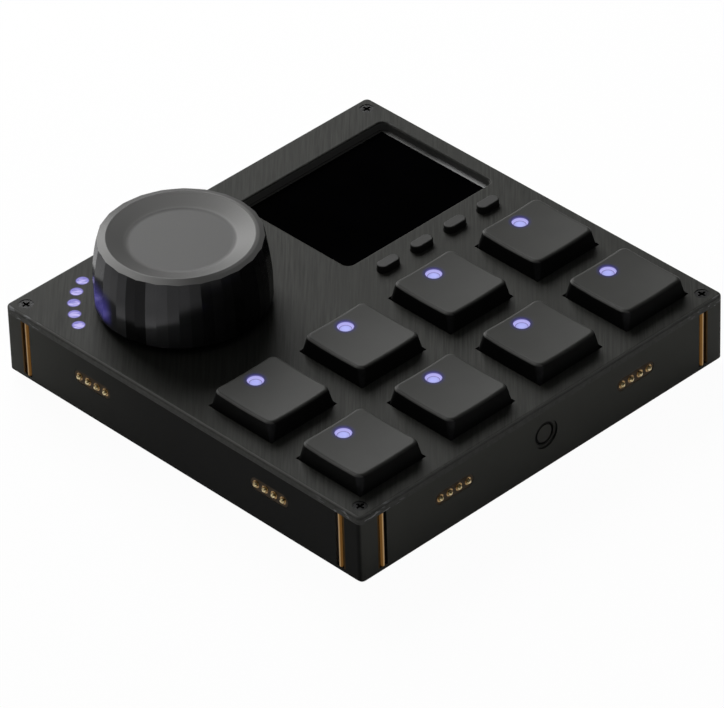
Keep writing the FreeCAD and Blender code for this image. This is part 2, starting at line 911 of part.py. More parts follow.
def encoder_roof():
    """Thickness of the encoder body over its detent disc."""
    return (lid_z - board_top_z) * quarter_share


def make_encoder_shaft():
    """Shaft with a flat at the top and a detent disc inside the encoder."""
    shaft = shaft_outline(0, shaft_bottom_z(), shaft_top_z())
    disc = cylinder(detent_radius, V(0, 0, detent_z()), detent_height)
    shaft = shaft.fuse(disc).removeSplitter()
    shaft.translate(V(knob_x, knob_y, 0))
    return shaft


def make_knob_push_actuator():
    """Disc under the shaft that works the push switch."""
    centre = V(knob_x, knob_y, board_top_z + actuator_gap + knob_push)
    return cylinder(shaft_radius - actuator_gap, centre, actuator_height)


def make_encoder_body():
    """Square encoder between board and plate, with a bush that comes up through the plate."""
    reach = encoder_side / 2
    body = box(V(-reach, -reach, board_top_z), V(reach, reach, lid_z))
    bush = cylinder(bush_radius, V(0, 0, lid_z), top_z + bush_height - lid_z)
    bore = cylinder(shaft_radius + shaft_running_gap, V(0, 0, board_top_z - cut), top_z + bush_height - board_top_z + 2 * cut)
    well_top = detent_z() + detent_height + slide_gap
    well_z = detent_z() - knob_push - actuator_gap
    well = cylinder(detent_radius + actuator_gap, V(0, 0, well_z), well_top - well_z)
    body = body.fuse(bush).cut([bore, well]).removeSplitter()
    body.translate(V(knob_x, knob_y, 0))
    return body


def make_encoder_nut():
    """Hexagon nut that clamps the encoder to the plate under the knob."""
    corner_r = nut_across_flats / math.sqrt(3)
    points = []
    for i in range(7):
        angle = math.radians(60 * i)
        points.append(V(corner_r * math.cos(angle), corner_r * math.sin(angle), top_z))
    nut = Part.Face(Part.makePolygon(points)).extrude(V(0, 0, nut_height))
    nut = nut.cut(cylinder(bush_radius + fit_gap, V(0, 0, top_z - cut), nut_height + 2 * cut))
    nut.translate(V(knob_x, knob_y, 0))
    return nut


# status lights

def make_status_light_pipes():
    """Round clear pipes held under the plate, one in each hole of the arc."""
    pipes = []
    foot_z = board_top_z + status_led_height + status_led_gap
    for place in status_places():
        pipe_top = top_z - status_sink
        pipe = cylinder(status_hole_radius - status_pipe_gap, place + V(0, 0, foot_z), pipe_top - foot_z)
        flange = cylinder(status_flange_radius, place + V(0, 0, lid_z - status_flange_height), status_flange_height)
        pipes.append(pipe.fuse(flange).removeSplitter())
    return group(pipes)


def make_status_leds():
    """Small square lights on the board under the pipes."""
    reach = status_led_side / 2
    leds = []
    for place in status_places():
        low = place + V(-reach, -reach, board_top_z)
        leds.append(box(low, place + V(reach, reach, board_top_z + status_led_height)))
    return group(leds)


# side contacts

def pin_offsets():
    """Places of the pins along one contact block."""
    middle = (contact_pins - 1) / 2
    return [(i - middle) * contact_pitch for i in range(contact_pins)]


def contact_block(x):
    """Plain block on the front wall that reaches back to the board's edge."""
    length = contact_length - 2 * contact_block_gap
    width = contact_width - 2 * contact_block_gap
    front = -half + contact_block_sink
    return wall_pill(length, width, contact_z, front, -board_half - front, x)


def make_pin_block(x):
    """Block with a blind bore for each spring pin."""
    front = -half + contact_block_sink
    depth = pin_body_length + pin_travel + pin_end_gap
    bores = []
    for offset in pin_offsets():
        start = V(x + offset, front - cut, contact_z)
        bores.append(cylinder(pin_body_radius + fit_gap, start, depth + cut, V(0, 1, 0)))
    return contact_block(x).cut(bores)


def make_pins(x):
    """Spring pins of one block: a round body with a thinner domed tip that stands out."""
    front = -half + contact_block_sink
    pins = []
    for offset in pin_offsets():
        start = V(x + offset, front, contact_z)
        body = cylinder(pin_body_radius, start, pin_body_length, V(0, 1, 0))
        tip_y = -half - pin_proud + pin_tip_radius
        tip = cylinder(pin_tip_radius, V(x + offset, tip_y, contact_z), front - tip_y, V(0, 1, 0))
        dome = Part.makeSphere(pin_tip_radius, V(x + offset, tip_y, contact_z))
        pins.append(body.fuse([tip, dome]).removeSplitter())
    return group(pins)


def target_discs(x, gap):
    """Flat contacts of one block, grown by a gap."""
    front = -half + contact_block_sink + (target_sink if gap == 0 else 0)
    back = -half + contact_block_sink + target_sink + target_length
    discs = []
    for offset in pin_offsets():
        start = V(x + offset, front, contact_z)
        discs.append(cylinder(target_radius + gap, start, back - front, V(0, 1, 0)))
    return discs


def male_sides():
    """Front and left walls carry the spring pins."""
    return (0, 3)


def female_sides():
    """Right and back walls carry the flat contacts."""
    return (1, 2)


def make_pin_blocks():
    """The blocks on the front and left walls."""
    return group([to_side(make_pin_block(x), side) for side in male_sides() for x in contact_offsets()])


def make_pin_sets():
    """The pins of each block, left to right on the front, then on the left wall."""
    return [to_side(make_pins(x), side) for side in male_sides() for x in contact_offsets()]


def make_target_blocks():
    """The blocks on the right and back walls."""
    blocks = []
    for side in female_sides():
        for x in contact_offsets():
            block = contact_block(x).cut(target_discs(x, fit_gap))
            blocks.append(to_side(block, side))
    return group(blocks)


def make_target_contacts():
    """The flat contacts on the right and back walls."""
    discs = []
    for side in female_sides():
        for x in contact_offsets():
            discs.extend(to_side(disc, side) for disc in target_discs(x, 0))
    return group(discs)


# round side button

def side_stem_z():
    """Height of the stem behind the round button, below the board."""
    return side_button_z - side_stem_drop


def make_side_button():
    """Round button with a smaller face, a flange behind the wall and a stem to its switch."""
    y_axis = V(0, 1, 0)
    face_y = -half + side_button_sink
    guide_y = face_y + side_button_step
    flange_y = -half + wall + slide_gap
    face = cylinder(side_button_face_radius, V(0, face_y, side_button_z), side_button_step, y_axis)
    front_edges = [edge for edge in face.Edges if edge.BoundBox.YMax < face_y + fit_gap]
    face = face.makeFillet(side_button_round, front_edges)
    guide = cylinder(side_button_radius, V(0, guide_y, side_button_z), flange_y - guide_y, y_axis)
    flange_radius = side_button_radius + side_button_flange_extra
    flange = cylinder(flange_radius, V(0, flange_y, side_button_z), side_button_flange_height, y_axis)
    stem_y = flange_y + side_button_flange_height
    stem_length = side_switch_y() + tact_lead_in - stem_y
    stem = cylinder(side_stem_radius, V(0, stem_y, side_stem_z()), stem_length, y_axis)
    return face.fuse([guide, flange, stem]).removeSplitter()


def side_switch_y():
    """Front face of the switch behind the round button."""
    return -half + wall + slide_gap + side_button_flange_height + side_switch_gap


def make_side_switch():
    """Switch under the board with a well for the button's stem."""
    y = side_switch_y()
    low = V(-side_switch_width / 2, y, board_z - side_switch_height)
    high = V(side_switch_width / 2, y + side_switch_depth, board_z)
    depth = tact_lead_in + side_button_travel + tact_well_gap
    well = cylinder(side_stem_radius + tact_well_gap, V(0, y - cut, side_stem_z()), depth + cut, V(0, 1, 0))
    return box(low, high).cut(well)


# lead connector

def make_usb_port():
    """Open metal shell under the board, its mouth just inside the back wall."""
    mouth = half - usb_sink
    outer = wall_pill(usb_width, usb_height, usb_centre_z(), mouth - usb_depth, usb_depth)
    bore_depth = usb_depth - usb_tongue_back
    inner_width = usb_width - 2 * usb_skin
    inner_height = usb_height - 2 * usb_skin
    inner = wall_pill(inner_width, inner_height, usb_centre_z(), mouth - bore_depth, bore_depth + cut)
    return outer.cut(inner)


def make_usb_tongue():
    """Flat tongue in the middle of the shell."""
    mouth = half - usb_sink
    back = mouth - usb_depth + usb_tongue_back
    z = usb_centre_z()
    low = V(-usb_tongue_width / 2, back, z - usb_tongue_height / 2)
    high = V(usb_tongue_width / 2, mouth - usb_tongue_setback, z + usb_tongue_height / 2)
    return box(low, high)


def moved(shape, place):
    """Copy of a shape at a place."""
    copy = shape.copy()
    copy.translate(place)
    return copy


def all_parts():
    """Every node by name."""
    parts = {
        "top_plate": make_top_plate(),
        "lower_case": make_lower_case(),
        "corner_screws": make_corner_screws(),
        "threaded_inserts": make_threaded_inserts(),
        "side_rods": make_side_rods(),
        "rubber_feet": make_rubber_feet(),
        "main_board": make_main_board(),
        "board_screws": make_board_screws(),
        "controller_chip": make_controller_chip(),
        "display_panel": make_display_panel(),
        "display_glass": make_display_glass(),
        "knob_cap": make_knob_cap(),
        "encoder_shaft": make_encoder_shaft(),
        "encoder_body": make_encoder_body(),
        "encoder_nut": make_encoder_nut(),
        "knob_push_actuator": make_knob_push_actuator(),
        "status_light_pipes": make_status_light_pipes(),
        "status_leds": make_status_leds(),
        "pin_blocks": make_pin_blocks(),
        "target_blocks": make_target_blocks(),
        "target_contacts": make_target_contacts(),
        "side_button": make_side_button(),
        "side_switch": make_side_switch(),
        "usb_port": make_usb_port(),
        "usb_tongue": make_usb_tongue(),
    }
    keycap = make_keycap()
    lens = make_keycap_lens()
    stem = make_switch_stem()
    housing = make_switch_housing()
    led = make_key_led()
    places = key_places()
    for number, place in enumerate(places, 1):
        parts["keycap_%d" % number] = moved(keycap, place)
        parts["keycap_lens_%d" % number] = moved(lens, place)
        parts["switch_stem_%d" % number] = moved(stem, place)
    parts["switch_housings"] = group([moved(housing, place) for place in places])
    parts["key_leds"] = group([moved(led, place) for place in places])
    button = make_soft_button()
    tact = make_tact_switch()
    for number, place in enumerate(soft_places(), 1):
        parts["soft_button_%d" % number] = moved(button, place)
    parts["tact_switches"] = group([moved(tact, place) for place in soft_places()])
    for number, pins in enumerate(make_pin_sets(), 1):
        parts["contact_pins_%d" % number] = pins
    return parts


os.makedirs("parts", exist_ok=True)
for name, shape in all_parts().items():
    shape.exportStep("parts/%s.step" % name)
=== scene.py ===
"""Looks of the macro keypad: finishes, lit windows, studio and camera.

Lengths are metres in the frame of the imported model: the origin is on the table under the middle of
the case, +X runs right, +Y runs back and +Z runs up.
"""
import bpy
import bmesh
import math
from mathutils import Matrix, Vector


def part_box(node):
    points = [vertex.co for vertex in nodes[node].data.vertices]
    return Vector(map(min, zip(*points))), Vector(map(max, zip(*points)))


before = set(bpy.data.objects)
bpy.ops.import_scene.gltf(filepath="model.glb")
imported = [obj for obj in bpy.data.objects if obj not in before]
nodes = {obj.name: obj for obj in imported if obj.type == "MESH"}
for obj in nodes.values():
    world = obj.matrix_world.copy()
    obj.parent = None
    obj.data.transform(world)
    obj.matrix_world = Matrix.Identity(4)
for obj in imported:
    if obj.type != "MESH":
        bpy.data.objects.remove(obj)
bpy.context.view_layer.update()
scene = bpy.context.scene

KEYS = range(1, 9)
SOFT_BUTTONS = range(1, 5)
CONTACTS = range(1, 5)

# sizes of the part that the finishes follow, from part.py
KEY_PITCH = 0.02444
WINDOW_HOLE = 0.0017
PIN_PITCH = 0.0025
PLATE_TOP = 0.0168
ROD_INSET = 0.0059
ROD_RADIUS = 0.00075
KNOB_FLATS = 24
DISH_RADIUS = 0.0150

# the status lights stand on an arc round the knob
LIGHT_ARC = 0.0219
LIGHT_FIRST = math.radians(114.7)
LIGHT_STEP = math.radians(10)
LIGHT_LAST = 4
LIGHT_HOLE = 0.0012

# where a tone fades in: from none at the first length to all of it at the second
RIM_BAND = (0.046, 0.048)
CORNER_BAND = (0.036, 0.046)
RING_INSIDE = (0.00185, 0.00205)
RING_OUTSIDE = (0.0027, 0.0024)
ABOVE_ROD_FEET = (0.0021, 0.0025)
BRASS_REFLECTION_SHIFT = 0.0003
HAIR = 0.00001

# directions round the knob, in degrees from +X, where its painted shade, glow and light fall
SHADED_SIDE = -65
GLOWING_SIDE = 157
BRIGHT_SLOPE = 10
BRIGHT_RIM = 170
BRIGHT_LIP = -35

# other choices of the look
KNOB_SEED = 2327.0
PLASTIC_GRAIN = 5000
UPRIGHT = (1, 1, 0.05)
UNLIT = (0, 0, 0)


def middle(name):
    """Centre of a node's box."""
    low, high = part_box(name)
    return (low + high) / 2


# shader graphs

class Graph:
    """A material whose Principled shader is fed by a few procedural nodes."""

    def __init__(self, name, color, roughness, metallic=0.0, specular=0.5):
        self.material = bpy.data.materials.new(name)
        self.material.use_nodes = True
        self.tree = self.material.node_tree
        self.shader = self.tree.nodes["Principled BSDF"]
        self.shader.inputs["Base Color"].default_value = (*color, 1)
        self.shader.inputs["Roughness"].default_value = roughness
        self.shader.inputs["Metallic"].default_value = metallic
        self.shader.inputs["Specular IOR Level"].default_value = specular
        self.material.diffuse_color = (*color, 1)

    def add(self, kind, **settings):
        node = self.tree.nodes.new(kind)
        for key, value in settings.items():
            setattr(node, key, value)
        return node

    def link(self, a, b):
        self.tree.links.new(a, b)

    # places and directions

    def place(self, rotation=(0, 0, 0), scale=(1, 1, 1)):
        """Object coordinates, turned and then scaled."""
        where = self.add("ShaderNodeTexCoord")
        turned = self.add("ShaderNodeMapping")
        turned.inputs["Rotation"].default_value = rotation
        self.link(where.outputs["Object"], turned.inputs["Vector"])
        sized = self.add("ShaderNodeMapping")
        sized.inputs["Scale"].default_value = scale
        self.link(turned.outputs["Vector"], sized.inputs["Vector"])
        return sized.outputs["Vector"]

    def parts(self, vector):
        split_up = self.add("ShaderNodeSeparateXYZ")
        self.link(vector, split_up.inputs["Vector"])
        return split_up.outputs["X"], split_up.outputs["Y"], split_up.outputs["Z"]

    def axes(self):
        """The three object coordinates."""
        return self.parts(self.place())

    def standing(self):
        """The three world coordinates, for what stays put while a piece turns."""
        return self.parts(self.add("ShaderNodeNewGeometry").outputs["Position"])

    def facing(self):
        """The three parts of the surface normal in object space."""
        return self.parts(self.add("ShaderNodeTexCoord").outputs["Normal"])

    # arithmetic

    def math(self, operation, a, b=None):
        node = self.add("ShaderNodeMath", operation=operation)
        for socket, value in zip(node.inputs, (a, b)):
            if value is None:
                continue
            if isinstance(value, (int, float)):
                socket.default_value = value
            else:
                self.link(value, socket)
        return node.outputs[0]

    def plus(self, a, b):
        return self.math("ADD", a, b)

    def minus(self, a, b):
        return self.math("SUBTRACT", a, b)

    def times(self, a, *others):
        for b in others:
            a = self.math("MULTIPLY", a, b)
        return a

    def most(self, a, b):
        return self.math("MAXIMUM", a, b)

    def least(self, a, b):
        return self.math("MINIMUM", a, b)

    def size(self, a):
        return self.math("ABSOLUTE", a)

    def span(self, value, low, high, to_low=0.0, to_high=1.0):
        """Maps a value from one range to another, clamped, with soft ends."""
        node = self.add("ShaderNodeMapRange", interpolation_type="SMOOTHSTEP")
        flip = low > high
        ends = (high, low, to_high, to_low) if flip else (low, high, to_low, to_high)
        for name, number in zip(("From Min", "From Max", "To Min", "To Max"), ends):
            node.inputs[name].default_value = number
        self.link(value, node.inputs["Value"])
        return node.outputs["Result"]

    def repeat(self, value, centre, pitch):
        """Distance along one axis from the nearest of a row of places."""
        moved = self.plus(self.math("DIVIDE", self.minus(value, centre), pitch), 0.5)
        return self.times(self.minus(self.math("FRACT", moved), 0.5), pitch)

    def radius(self, a, b):
        """Distance from an axis, given two offsets from it."""
        return self.math("SQRT", self.plus(self.times(a, a), self.times(b, b)))

    def around(self, x, y, centre):
        """Angle about the upright axis through a centre."""
        return self.math("ARCTAN2", self.minus(y, centre.y), self.minus(x, centre.x))

    def towards(self, angle, degrees):
        """1 in one direction round an axis, falling to -1 opposite it."""
        return self.math("COSINE", self.minus(angle, math.radians(degrees)))

    # patterns and tones

    def noise(self, scale, detail=3.0, vector=None, roughness=0.5):
        node = self.add("ShaderNodeTexNoise")
        node.inputs["Scale"].default_value = scale
        node.inputs["Detail"].default_value = detail
        node.inputs["Roughness"].default_value = roughness
        self.link(vector if vector is not None else self.place(), node.inputs["Vector"])
        return node.outputs["Fac"]

    def mix(self, fac, a, b):
        node = self.add("ShaderNodeMix", data_type="RGBA")
        for socket, value in ((node.inputs[0], fac), (node.inputs[6], a), (node.inputs[7], b)):
            if isinstance(value, tuple):
                socket.default_value = (*value, 1)
            elif isinstance(value, (int, float)):
                socket.default_value = value
            else:
                self.link(value, socket)
        return node.outputs[2]

    def bump(self, height, distance, strength, normal=None):
        node = self.add("ShaderNodeBump")
        node.inputs["Distance"].default_value = distance
        node.inputs["Strength"].default_value = strength
        self.link(height, node.inputs["Height"])
        if normal is not None:
            self.link(normal, node.inputs["Normal"])
        return node.outputs["Normal"]

    # what feeds the shader

    def color(self, output):
        self.link(output, self.shader.inputs["Base Color"])

    def roughness(self, grain, low, high):
        self.link(self.span(grain, 0.3, 0.7, low, high), self.shader.inputs["Roughness"])

    def normal(self, output):
        self.link(output, self.shader.inputs["Normal"])

    def surface(self, grain, low, high, depth, strength):
        """Lets one grain vary the roughness from low to high and dent the surface."""
        self.roughness(grain, low, high)
        self.normal(self.bump(grain, depth, strength))

    def glow(self, color):
        self.link(color, self.shader.inputs["Emission Color"])
        self.shader.inputs["Emission Strength"].default_value = 1.0


# the case

def light_distance(g, x, y):
    """Distance from the nearest of the status lights on their arc round the knob."""
    centre = middle("knob_cap")
    angle = g.around(x, y, centre)
    place = g.math("ROUND", g.math("DIVIDE", g.minus(angle, LIGHT_FIRST), LIGHT_STEP))
    place = g.least(g.most(place, 0.0), float(LIGHT_LAST))
    nearest = g.plus(g.times(place, LIGHT_STEP), LIGHT_FIRST)
    along = g.times(g.minus(angle, nearest), LIGHT_ARC)
    out = g.radius(g.minus(x, centre.x), g.minus(y, centre.y))
    return g.radius(along, g.minus(out, LIGHT_ARC))


def ridged_tone(g, lines):
    """Tone of the plate's flat top: ridges that come and go over a faint cloud."""
    patches = g.noise(90, 2)
    cloud = g.noise(60, 3)
    ridges = g.times(g.minus(g.span(lines, 0.32, 0.68), 0.5), g.span(patches, 0.35, 0.65, 0.45, 1.0))
    tone = g.plus(g.times(ridges, 1.05), g.times(g.plus(cloud, 1.0), 0.33))
    return g.mix(tone, (0.0280, 0.0284, 0.0256), (0.0470, 0.0475, 0.0432))


def bevel_wear_and_painted_light(g, x, y, nz, rubbed):
    """Tone of the bevel: rubbed grain, with painted light making it palest on its slope, and bright wear
    strokes along it near the corners.
    """
    edge = g.mix(g.span(rubbed, 0.3, 0.7), (0.080, 0.080, 0.075), (0.098, 0.098, 0.092))
    # painted light: the bevel's mid slope, which the lamps leave dim, is painted paler
    slope = g.times(g.span(nz, 0.35, 0.70), g.span(nz, 0.97, 0.88))
    edge = g.mix(slope, edge, (0.155, 0.155, 0.146))
    strokes = g.span(g.noise(420, 3, g.place(scale=(1, 1, 4.5))), 0.55, 0.66)
    strokes = g.times(strokes, g.span(g.least(g.size(x), g.size(y)), *CORNER_BAND))
    return g.mix(strokes, edge, (0.33, 0.335, 0.34))


def light_well_glow(g, x, y):
    """Painted violet glow in the status lights' holes in the plate, with a faint painted halo on the plate
    round each.
    """
    far = light_distance(g, x, y)
    near = g.span(far, LIGHT_HOLE - HAIR, LIGHT_HOLE + 0.0003, 1.0, 0.0)
    halo = g.mix(near, UNLIT, (0.11, 0.095, 0.33))
    well = g.span(far, LIGHT_HOLE + HAIR, LIGHT_HOLE + 3 * HAIR, 1.0, 0.0)
    return g.mix(well, halo, (0.26, 0.24, 0.62))


def case_top_finish():
    """Matte dark grey with fine uneven ridges along the plan's diagonal, worn on its outer edge, with
    painted light on the front and left faces of its bevel and recess and a painted violet glow at the
    status lights.
    """
    g = Graph("case_top", (0.038, 0.038, 0.036), 0.5, specular=0.04)
    x, y, _ = g.axes()
    nx, ny, nz = g.facing()
    diagonal = g.place(rotation=(0, 0, math.radians(45)), scale=(1, 0.035, 1))
    lines = g.noise(1900, 2.5, diagonal, 0.65)
    rubbed = g.noise(1400, 4)
    wear = g.times(g.span(nz, 0.97, 0.85), g.span(rubbed, 0.50, 0.70))
    base = g.mix(wear, ridged_tone(g, lines), (0.062, 0.062, 0.059))

    # front and left faces, on the bevel or on the display's recess, get painted light: paler colours than
    # their shading gives
    outward = g.span(g.plus(nx, ny), -0.02, -0.2)
    outer = g.span(g.most(g.size(x), g.size(y)), *RIM_BAND)
    bevel = g.times(outward, outer, g.span(nz, 0.985, 0.90))
    base = g.mix(bevel, base, bevel_wear_and_painted_light(g, x, y, nz, rubbed))
    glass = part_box("display_glass")[0]
    beside = g.times(g.span(x, glass.x - 0.002, glass.x - 0.001),
                     g.span(y, glass.y - 0.002, glass.y - 0.001))
    # painted light: the recess walls that face front and left are painted pale
    recess = g.times(outward, beside, g.span(nz, 0.6, 0.2), g.minus(1.0, outer))
    g.color(g.mix(recess, base, (0.260, 0.260, 0.248)))

    g.glow(light_well_glow(g, x, y))
    grain = g.noise(9000, 2)
    g.roughness(grain, 0.49, 0.60)
    g.normal(g.bump(lines, 0.00003, 0.5, g.bump(grain, 0.00001, 0.4)))
    return g.material


def button_ring_shade(g, x, z, ny):
    """1 in the sunk ring round the button in the front wall, where a shadow is painted dark."""
    button = middle("side_button")
    far = g.radius(g.minus(x, button.x), g.minus(z, button.z))
    ring = g.times(g.span(far, *RING_INSIDE), g.span(far, *RING_OUTSIDE))
    return g.times(ring, g.span(ny, -0.3, -0.6))


def brass_reflection_round_rods(g, x, y, z):
    """1 in the rods' grooves and just round them, above the rods' feet, where a brown reflection of the
    brass is painted.
    """
    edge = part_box("side_rods")[1].x + BRASS_REFLECTION_SHIFT
    across = g.minus(g.most(g.size(x), g.size(y)), edge - ROD_RADIUS)
    along = g.minus(g.least(g.size(x), g.size(y)), edge - ROD_INSET)
    near = g.span(g.radius(across, along), ROD_RADIUS + 0.0006, ROD_RADIUS + 0.0003)
    return g.times(near, g.span(z, *ABOVE_ROD_FEET))


def case_side_finish():
    """Matte dark grey with a fine moulded grain, with painted shade darkening the left wall towards the
    front, a painted shadow in the ring round the button and a painted brown reflection of the brass round
    the rods.
    """
    g = Graph("case_side", (0.046, 0.046, 0.044), 0.6, specular=0.03)
    x, y, z = g.axes()
    nx, ny, _ = g.facing()
    # painted shade: the left wall darkens towards the front
    left_wall_shade = g.times(g.span(y, 0.062, 0.0), g.span(nx, -0.5, -0.9), 0.90)
    fresh = g.mix(g.noise(45, 3), (0.074, 0.074, 0.0672), (0.094, 0.094, 0.0850))
    base = g.mix(left_wall_shade, fresh, (0.006, 0.006, 0.006))
    # painted shadow in the sunk ring round the button
    base = g.mix(button_ring_shade(g, x, z, ny), base, (0.010, 0.010, 0.0095))
    # painted reflection of the brass rods on the case round them
    g.color(g.mix(brass_reflection_round_rods(g, x, y, z), base, (0.130, 0.070, 0.022)))
    g.surface(g.noise(7000, 3), 0.52, 0.68, 0.000012, 0.5)
    return g.material


# the keys

def window_distance(g, x, y, shift=0.0):
    """Distance from the nearest key window's axis, moved to the front left by a shift on each axis."""
    first = middle("keycap_lens_1")
    return g.radius(g.repeat(x, first.x - shift, KEY_PITCH), g.repeat(y, first.y - shift, KEY_PITCH))


def keycap_finish(name, specular):
    """Satin dark grey with painted shade on its sides, painted highlights on its front corners and
    front-left edges, and a painted violet glow in the window's hole and faintly round it.
    """
    g = Graph(name, (0.046, 0.046, 0.0445), 0.4, specular=specular)
    x, y, z = g.axes()
    nx, ny, nz = g.facing()
    top = g.mix(g.noise(150, 3), (0.0465, 0.0468, 0.0438), (0.0590, 0.0593, 0.0555))
    # painted shade: the sides are darker than the top
    base = g.mix(g.span(nz, 0.35, 0.9), (0.024, 0.024, 0.0235), top)
    # painted highlight on the front upright corner, in patches
    patches = g.span(g.noise(500, 2), 0.3, 0.6, 0.4, 1.0)
    corner_highlight = g.times(g.span(g.plus(nx, ny), -1.10, -1.34), patches)
    base = g.mix(corner_highlight, base, (0.052, 0.052, 0.054))
    # painted highlight along the top's front-left edge
    left_edge_highlight = g.times(g.span(nz, 0.95, 0.82), g.span(nz, 0.35, 0.6), g.span(nx, -0.2, -0.45))
    base = g.mix(left_edge_highlight, base, (0.150, 0.150, 0.144))
    far = window_distance(g, x, y)
    g.color(g.mix(g.span(far, WINDOW_HOLE, 0.0025, 0.6, 0.0), base, (0.006, 0.006, 0.010)))

    # painted glow: the hole's wall and the cap round it glow violet with the window's light
    inside = g.span(far, WINDOW_HOLE + 1.2 * HAIR, WINDOW_HOLE + 2.2 * HAIR, 1.0, 0.0)
    lip = g.span(z, PLATE_TOP + 0.0031, PLATE_TOP + 0.0034)
    wall = g.mix(lip, (0.44, 0.42, 0.84), (0.07, 0.06, 0.22))
    halo = g.mix(g.span(far, WINDOW_HOLE, 0.0026, 1.0, 0.0), UNLIT, (0.014, 0.012, 0.085))
    g.glow(g.mix(inside, halo, wall))
    g.surface(g.noise(8000, 3), 0.34, 0.46, 0.000008, 0.5)
    return g.material


def key_window_finish():
    """Frosted window lit from behind: a bright disc, a thin dim ring round it and a pale margin."""
    g = Graph("key_window", (0.02, 0.02, 0.03), 0.45, specular=0.1)
    x, y, _ = g.axes()
    far = window_distance(g, x, y)
    disc = g.mix(g.span(far, 0.0004, 0.0015), (0.42, 0.44, 0.92), (0.28, 0.29, 0.62))
    disc = g.mix(g.times(g.noise(1500, 2), 0.5), disc, (0.26, 0.27, 0.66))
    margin = g.mix(g.span(far, 0.00150, 0.00168), (0.44, 0.42, 0.84), (0.07, 0.06, 0.24))
    inner = window_distance(g, x, y, 0.0002)
    ring = g.times(g.span(inner, 0.00114, 0.00122), g.span(inner, 0.00140, 0.00132))
    face = g.mix(g.span(inner, 0.00122, 0.00132), disc, margin)
    g.glow(g.mix(ring, face, (0.17, 0.14, 0.42)))
    return g.material


def status_light_finish():
    """Frosted round lights with faint streaks."""
    g = Graph("status_light", (0.02, 0.02, 0.03), 0.45, specular=0.1)
    streak = g.noise(2500, 2, g.place(rotation=(0, 0, math.radians(45)), scale=(0.25, 1, 1)))
    g.glow(g.mix(g.span(streak, 0.38, 0.62), (0.22, 0.205, 0.58), (0.50, 0.445, 0.84)))
    return g.material


# the knob

def flat_value(g, x, y, centre):
    """A random value for each of the knob's flats."""
    turns = g.times(g.around(x, y, centre), KNOB_FLATS / (2 * math.pi))
    flat = g.math("MODULO", g.plus(g.math("ROUND", turns), KNOB_FLATS), KNOB_FLATS)
    seed = g.add("ShaderNodeTexWhiteNoise", noise_dimensions="1D")
    g.link(g.plus(flat, KNOB_SEED), seed.inputs["W"])
    return seed.outputs["Value"]


def knob_side_finish():
    """Glossy near-black flats, each a little different, paler low down with a painted reflection, darker
    on the right with painted shade, and with the status lights' glow painted low on the left.
    """
    g = Graph("knob_side", (0.04, 0.04, 0.041), 0.17, metallic=0.5, specular=0.0)
    centre = middle("knob_cap")
    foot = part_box("knob_cap")[0].z
    x, y, z = g.axes()
    bright = g.mix(g.noise(140, 3), (0.042, 0.042, 0.044), (0.068, 0.068, 0.070))
    # painted reflection: the flats are paler low down, where they mirror the plate
    bright = g.mix(g.span(z, foot + 0.0095, foot + 0.0035), bright, (0.10, 0.10, 0.103))
    tone = g.span(flat_value(g, x, y, centre), 0.05, 0.95)

    # the shade on the right and the lights' glow stay put while the knob turns
    world_x, world_y, _ = g.standing()
    around = g.around(world_x, world_y, centre)
    tone = g.times(tone, g.span(g.towards(around, SHADED_SIDE), 0.38, 0.78, 1.0, 0.25))
    g.color(g.mix(tone, (0.018, 0.018, 0.0185), bright))
    aside = g.size(g.minus(around, math.radians(GLOWING_SIDE)))
    lit = g.times(g.span(z, foot + 0.0008, foot + 0.0030), g.span(z, foot + 0.0095, foot + 0.0040),
                  g.span(aside, math.radians(19), math.radians(8)))
    g.glow(g.mix(lit, UNLIT, (0.030, 0.024, 0.15)))
    g.surface(g.noise(6000, 3), 0.14, 0.2, 0.000006, 0.4)
    return g.material


def knob_top_finish():
    """Satin top with fine turned marks; painted light makes its rim and dish each paler on one side."""
    g = Graph("knob_top", (0.08, 0.08, 0.078), 0.38, specular=0.05)
    centre = middle("knob_cap")
    x, y, _ = g.axes()
    nz = g.facing()[2]
    far = g.radius(g.minus(x, centre.x), g.minus(y, centre.y))
    rings = g.add("ShaderNodeCombineXYZ")
    g.link(far, rings.inputs["X"])
    marks = g.plus(g.times(g.noise(9000, 2, rings.outputs["Vector"]), 0.5),
                   g.times(g.noise(4000, 2), 0.5))
    world_x, world_y, _ = g.standing()
    around = g.around(world_x, world_y, centre)

    floor = g.mix(marks, (0.078, 0.0773, 0.0758), (0.098, 0.0972, 0.0952))
    # painted light: the slope, the rim and the rim's inner lip are each paler on one side, in world
    # coordinates so that the light stays with the lamps while the knob turns
    bright_slope = g.span(g.towards(around, BRIGHT_SLOPE), -1.0, 1.0)
    slope = g.mix(bright_slope, (0.095, 0.0945, 0.0925), (0.280, 0.278, 0.272))
    slope = g.mix(g.times(marks, 0.25), slope, (0.08, 0.08, 0.078))
    bright_rim = g.span(g.towards(around, BRIGHT_RIM), 0.3, 1.0)
    rim = g.mix(bright_rim, (0.088, 0.0875, 0.0857), (0.300, 0.298, 0.292))
    # painted highlight on the rim's inner lip, on one side
    lip = g.times(g.span(far, DISH_RADIUS + 0.0008, DISH_RADIUS + 0.0003),
                  g.span(g.towards(around, BRIGHT_LIP), 0.1, 0.8))
    rim = g.mix(lip, rim, (0.175, 0.174, 0.170))
    rim = g.mix(g.times(marks, 0.3), rim, (0.07, 0.07, 0.068))

    dish = g.mix(g.span(nz, 0.995, 0.965), floor, slope)
    g.color(g.mix(g.span(far, DISH_RADIUS - 0.0002, DISH_RADIUS), dish, rim))
    g.surface(g.noise(6000, 3), 0.34, 0.42, 0.000006, 0.4)
    return g.material


# buttons, metals, plastics and the display

